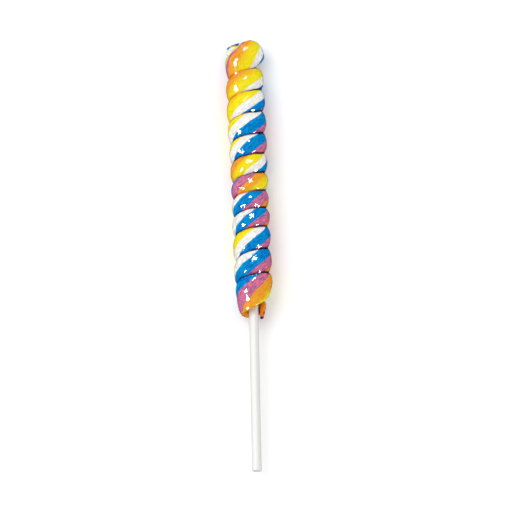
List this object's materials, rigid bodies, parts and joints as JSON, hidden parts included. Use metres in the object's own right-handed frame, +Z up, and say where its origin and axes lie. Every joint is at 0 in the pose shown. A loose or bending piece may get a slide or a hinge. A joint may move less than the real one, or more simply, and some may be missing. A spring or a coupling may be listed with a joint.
{
  "type": "swirl lollipop",
  "caption": "Tall twist lollipop: a striped hard-candy rope wound in a tight spiral round a plain white stick, lying on its side.",
  "frame": {"origin": "on the surface the lollipop rests on, under the middle of its bounding box", "axes": "+Y along the stick towards the candy's head, +X to the right of the shown side, +Z up from the resting surface"},
  "size_m": [0.0174, 0.1814, 0.0154],
  "materials": {
    "striped_candy": "glossy boiled sugar in orange, yellow, white, blue and purple stripes",
    "stick": "matt white, smooth"
  },
  "bodies": {
    "root": {"swirl_candy": "striped_candy", "stick": "stick"}
  },
  "joints": []
}
